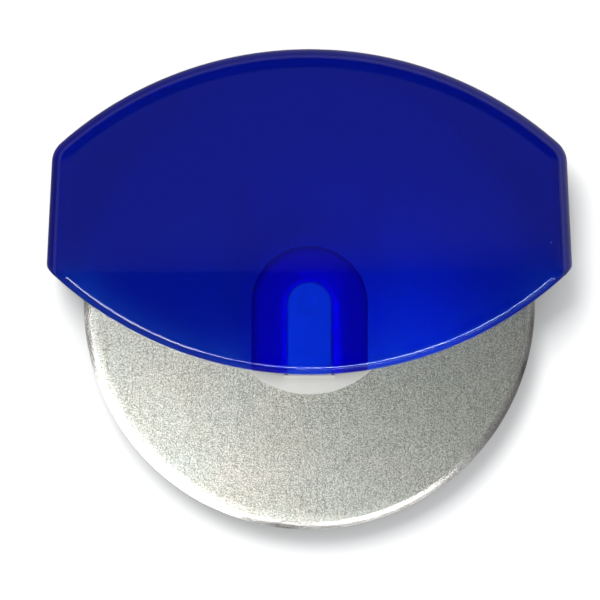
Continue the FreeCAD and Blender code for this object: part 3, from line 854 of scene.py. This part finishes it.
# %% Blasted face and ground rim
def make_blasted_steel():
    """Sand-blasted sheet: sparkle grain, upright drawn lines and soft patches of tint."""
    material, tree, shader = start_material("blade_blasted_steel", Metallic=1.0, Roughness=0.45,
                                            Base_Color=(0.70, 0.71, 0.68))
    grain = place_group(tree, grain_group, Fine_Scale=5200.0, Patch_Scale=45.0)
    place = add_node(tree, "ShaderNodeTexCoord")
    stretch = fill(add_node(tree, "ShaderNodeMapping"), Scale=(1.0, 0.045, 1.0))
    tree.links.new(place.outputs["Object"], stretch.inputs["Vector"])
    lines = fill(add_node(tree, "ShaderNodeTexNoise"), Scale=2600.0, Detail=2.0)
    tree.links.new(stretch.outputs["Vector"], lines.inputs["Vector"])
    sparkle = ramp(tree, grain.outputs["Fine"], 0.37, 0.67)
    drawn = ramp(tree, lines.outputs["Fac"], 0.30, 0.70)
    tint = blend_colours(tree, ramp(tree, grain.outputs["Patch"], 0.35, 0.65),
                         (0.82, 0.80, 0.71), (0.77, 0.82, 0.75))
    dark = blend_colours(tree, sparkle, (0.15, 0.15, 0.13), tint)
    shade = blend_colours(tree, math_node(tree, "MULTIPLY", drawn, 0.14), dark, (0.84, 0.86, 0.82))
    tree.links.new(shade, shader.inputs["Base Color"])
    rough = ramp(tree, grain.outputs["Fine"], 0.25, 0.75, 0.40, 0.28)
    tree.links.new(rough, shader.inputs["Roughness"])
    height = math_node(tree, "MULTIPLY_ADD", lines.outputs["Fac"], 0.15, grain.outputs["Fine"])
    add_bump(tree, shader, height, 0.05 * MM, 0.7)
    return material


def ring_noise(tree, lines):
    """Noise that depends only on the distance from the axle, the root of x^2 + y^2."""
    place = add_node(tree, "ShaderNodeTexCoord")
    split = add_node(tree, "ShaderNodeSeparateXYZ")
    tree.links.new(place.outputs["Object"], split.inputs["Vector"])
    across = math_node(tree, "MULTIPLY", split.outputs["X"], split.outputs["X"])
    along = math_node(tree, "MULTIPLY", split.outputs["Y"], split.outputs["Y"])
    radius = math_node(tree, "SQRT", math_node(tree, "ADD", across, along))
    noise = fill(add_node(tree, "ShaderNodeTexNoise", noise_dimensions="1D"), Detail=2.0, Scale=1.0)
    tree.links.new(math_node(tree, "MULTIPLY", radius, lines), noise.inputs["W"])
    return noise.outputs["Fac"]


def make_ground_steel():
    """Ground rim: bright, with fine rings round the axle and a slightly burnt tone in places."""
    material, tree, shader = start_material("blade_ground_rim", Metallic=1.0, Roughness=0.14,
                                            Base_Color=(0.80, 0.79, 0.76))
    rings = ring_noise(tree, 9000.0)
    grain = place_group(tree, grain_group, Fine_Scale=1500.0, Patch_Scale=120.0)
    colour = blend_colours(tree, ramp(tree, rings, 0.3, 0.7),
                           (0.66, 0.64, 0.60), (0.86, 0.86, 0.84))
    tree.links.new(colour, shader.inputs["Base Color"])
    rough = ramp(tree, grain.outputs["Patch"], 0.3, 0.7, 0.16, 0.26)
    tree.links.new(rough, shader.inputs["Roughness"])
    add_bump(tree, shader, rings, 0.02 * MM, 0.5)
    return material


# %% [markdown]
# ## White plastic
# The carriers and the pin are satin white, a little warm, with the faint cloudiness of moulded
# plastic. The sleeve is the undyed, slightly yellow plastic that bearings are often made of. One
# function makes both, because only colour and gloss differ.

# %% White plastics
def make_white_plastic(name, light, deep, gloss):
    """Satin moulded plastic: cloudy colour, uneven gloss and a very fine grain."""
    material, tree, shader = start_material(name, Roughness=gloss, IOR=1.5, Base_Color=light)
    grain = place_group(tree, grain_group, Fine_Scale=1800.0, Patch_Scale=110.0)
    specks = place_group(tree, speck_group, Scale=400.0, Size=0.10, Share=0.05)
    cloud = blend_colours(tree, ramp(tree, grain.outputs["Patch"], 0.3, 0.7), light, deep)
    soiled = blend_colours(tree, math_node(tree, "MULTIPLY", specks.outputs["Mask"], 0.4),
                           cloud, (0.35, 0.33, 0.30))
    tree.links.new(soiled, shader.inputs["Base Color"])
    rough = ramp(tree, grain.outputs["Patch"], 0.25, 0.75, gloss - 0.06, gloss + 0.08)
    tree.links.new(rough, shader.inputs["Roughness"])
    add_bump(tree, shader, grain.outputs["Fine"], 0.01 * MM, 0.5)
    return material


# %% [markdown]
# ## Put the pieces together
# Each built piece stands for one node of the engineering model and rides on that node's body. Its
# finish is the material it was built with. The engineering model stays as it is and still does the
# colliding.

# %% Build, place and hand over every piece
blue = make_blue_plastic()
blasted, ground = make_blasted_steel(), make_ground_steel()
white = make_white_plastic("carrier_white", (0.75, 0.75, 0.72), (0.70, 0.70, 0.67), 0.38)
natural = make_white_plastic("sleeve_natural", (0.78, 0.75, 0.66), (0.72, 0.69, 0.60), 0.34)


def hand_over(piece, node, body, slot):
    """Let a piece stand for a node and ride on its body. The slot is not used."""
    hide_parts(node)
    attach(piece, body)
    return piece


pieces = [hand_over(*row) for row in (
    (make_shell("handle_front", to_front, blue), "front_shell", "handle", "handle_blue"),
    (make_shell("handle_rear", to_rear, blue), "rear_shell", "handle", "handle_blue"),
    (make_blade("blade", to_front, blasted, ground), "cutter_wheel", "wheel", "blade_steel"),
    (make_carrier("carrier_front", to_front, white), "front_carrier", "cartridge", "carrier_white"),
    (make_carrier("carrier_rear", to_rear, white), "rear_carrier", "cartridge", "carrier_white"),
    (make_sleeve("sleeve", to_front, natural), "bearing_sleeve", "cartridge", "sleeve_plastic"),
    (make_pin("pin", to_front, white), "axle_pin", "cartridge", "pin_plastic"))]
shells, disc_blade, cartridge = pieces[:2], pieces[2], pieces[3:]

# %% [markdown]
# ## Table, camera and light
# The cutter lies on a white table, and the camera looks straight down. A long lens keeps the round
# blade round. The table lies a hair below the handle, so that the two faces don't flicker, and it
# is hidden from reflections, which would otherwise wash out the dark sides.

# %% Table
TABLE_REACH, TABLE_DROP = 3.0, 0.05 * MM
table_mesh = bpy.data.meshes.new("table")
table_mesh.from_pydata([(side * TABLE_REACH, end * TABLE_REACH, -TABLE_DROP)
                        for side, end in ((-1, -1), (1, -1), (1, 1), (-1, 1))],
                       [], [(0, 1, 2, 3)])
table = bpy.data.objects.new("table", table_mesh)
bpy.context.scene.collection.objects.link(table)
paper = start_material("table_white", Base_Color=(0.90, 0.90, 0.90), Roughness=0.9,
                       Specular_IOR_Level=0.1)
table_mesh.materials.append(paper[0])
table.visible_glossy = False

# %% Camera
VIEW_WIDTH = 135.2 * MM
CAMERA_HEIGHT = 550.0 * MM
CAMERA_X, CAMERA_Y = -2.1 * MM, 0.9 * MM
SENSOR_WIDTH = 36.0
camera_data = bpy.data.cameras.new("camera")
camera_data.sensor_width = SENSOR_WIDTH
camera_data.lens = SENSOR_WIDTH * CAMERA_HEIGHT / VIEW_WIDTH
camera_data.clip_start = 0.02
camera = bpy.data.objects.new("camera", camera_data)
camera.location = (CAMERA_X, CAMERA_Y, seam_level + CAMERA_HEIGHT)
bpy.context.scene.collection.objects.link(camera)
bpy.context.scene.camera = camera

# %% [markdown]
# ## Lamps
# Polished plastic and steel show whatever stands above them, so one big lamp would show in every
# face at once. Here the lamps are sorted by job. Two soft ones from the upper left make the shadows
# and are hidden from reflections. A tiny one by the boss stands for light that gathers in the mouth.
# The rest are only there to be reflected: panels in the blade and its rim, cool strips in the mouth
# edge, and four walls that keep the blade from going black when it is seen from the side.
# Some are linked to certain pieces, as a studio keeps a light off a piece with a card.

# %% Lamps
COOL_WHITE = (0.74, 0.95, 1.0)


def add_panel(name, azimuth, tilt, distance, across, along, power, seen_in, only=()):
    """Rectangular lamp facing the axle: azimuth from +X, tilt from straight up, in degrees.

    It is across wide round the axle and along high up its slope. seen_in lists the kinds of ray
    that meet it: diffuse, glossy, transmission. If only is given, no other piece is lit by it.
    """
    data = bpy.data.lights.new(name, "AREA")
    data.shape, data.size, data.size_y, data.energy = "RECTANGLE", along, across, power
    lamp = bpy.data.objects.new(name, data)
    turn, lean = math.radians(azimuth), math.radians(tilt)
    lamp.location = (distance * math.sin(lean) * math.cos(turn),
                     distance * math.sin(lean) * math.sin(turn),
                     distance * math.cos(lean))
    lamp.rotation_euler = (0.0, lean, turn)
    lamp.visible_camera = False
    for kind in ("diffuse", "glossy", "transmission"):
        setattr(lamp, "visible_" + kind, kind in seen_in)
    bpy.context.scene.collection.objects.link(lamp)
    if only:
        lamp.light_linking.receiver_collection = bpy.data.collections.new(name + "_lights")
        for piece in only:
            lamp.light_linking.receiver_collection.objects.link(piece)
    return lamp


# name, azimuth, tilt, distance, across, along, power, seen in, only
add_panel("key_upper_left", 118, 27, 1.3, 0.50, 0.50, 12.0, ("diffuse",),
          shells + [disc_blade, table])
add_panel("key_cartridge", 118, 5, 1.3, 0.60, 0.60, 3.8, ("diffuse",), cartridge)
add_panel("glow_by_boss", -44, 34, 0.047, 0.014, 0.014, 0.030, ("diffuse",), shells)
add_panel("panel_lower_left", -134, 27, 0.45, 0.17, 0.17, 0.92, ("glossy",))
add_panel("panel_bottom", -70, 28, 0.45, 0.12, 0.03, 0.14, ("glossy",), [disc_blade])
add_panel("panel_right", -8, 24, 0.50, 0.26, 0.04, 0.03, ("glossy",), [disc_blade])
strips = [add_panel("strip_mouth", -66, 24, 0.60, 0.34, 0.08, 2.2, ("glossy",), shells),
          add_panel("strip_low", -64, 52, 0.60, 0.50, 0.04, 0.7, ("glossy",), shells)]
for strip in strips:
    strip.data.color = COOL_WHITE
for quarter in range(4):
    add_panel(f"wall_{quarter}", 90 * quarter + 30, 55, 1.2, 1.5, 0.8, 1.6, ("glossy",),
              [disc_blade])

# %% [markdown]
# ## The room
# The room is dim. A paler ceiling past the camera lays the grey veil over the upper part of the
# handle, and pale low walls draw the light line inside its rim. Matt surfaces see an extra even
# glow, so the table stays white. A few ramps over the direction are easier to move than a backdrop.

# %% World
VEIL, ROOM_BASE, BAND_GLOW, MATT_GLOW = 0.16, 0.03, 0.36, 0.74
LOWEST_RISE = 0.05


def make_world():
    """Dim room with a pale ceiling past the camera and an even glow for matt surfaces."""
    world = bpy.data.worlds.new("studio")
    bpy.context.scene.world = world
    world.use_nodes = True
    tree = world.node_tree
    backdrop = tree.nodes["Background"]
    place = add_node(tree, "ShaderNodeTexCoord")
    split = add_node(tree, "ShaderNodeSeparateXYZ")
    tree.links.new(place.outputs["Generated"], split.inputs["Vector"])
    rise = math_node(tree, "MAXIMUM", split.outputs["Z"], LOWEST_RISE)
    forward = math_node(tree, "DIVIDE", split.outputs["Y"], rise)
    sideways = math_node(tree, "DIVIDE", split.outputs["X"], rise)
    edge = math_node(tree, "MULTIPLY_ADD", sideways, -0.033, forward)
    near = ramp(tree, edge, 0.004, 0.028)
    far = ramp(tree, forward, 0.34, 0.22)
    veil = math_node(tree, "MULTIPLY", math_node(tree, "MULTIPLY", near, far), VEIL)
    low = math_node(tree, "MULTIPLY", ramp(tree, split.outputs["Z"], 0.5, 0.05),
                    ramp(tree, split.outputs["Y"], -0.75, -0.15))
    walls = math_node(tree, "MULTIPLY", low,
                      math_node(tree, "MULTIPLY_ADD", split.outputs["X"], 0.20, 0.28))
    band = math_node(tree, "MULTIPLY", ramp(tree, split.outputs["Z"], 0.40, 0.22),
                     ramp(tree, split.outputs["Z"], -0.02, 0.08))
    room = math_node(tree, "MULTIPLY_ADD", band, BAND_GLOW, walls)
    mirror_sky = math_node(tree, "ADD", math_node(tree, "ADD", veil, ROOM_BASE), room)
    path = add_node(tree, "ShaderNodeLightPath")
    matt = path.outputs["Is Diffuse Ray"]
    level = math_node(tree, "MULTIPLY_ADD", matt, MATT_GLOW, mirror_sky)
    tree.links.new(level, backdrop.inputs["Strength"])
    backdrop.inputs["Color"].default_value = (0.98, 0.99, 1.0, 1.0)


make_world()
bpy.context.scene.view_settings.view_transform = "Standard"
print(len(bpy.data.lights), "lamps")
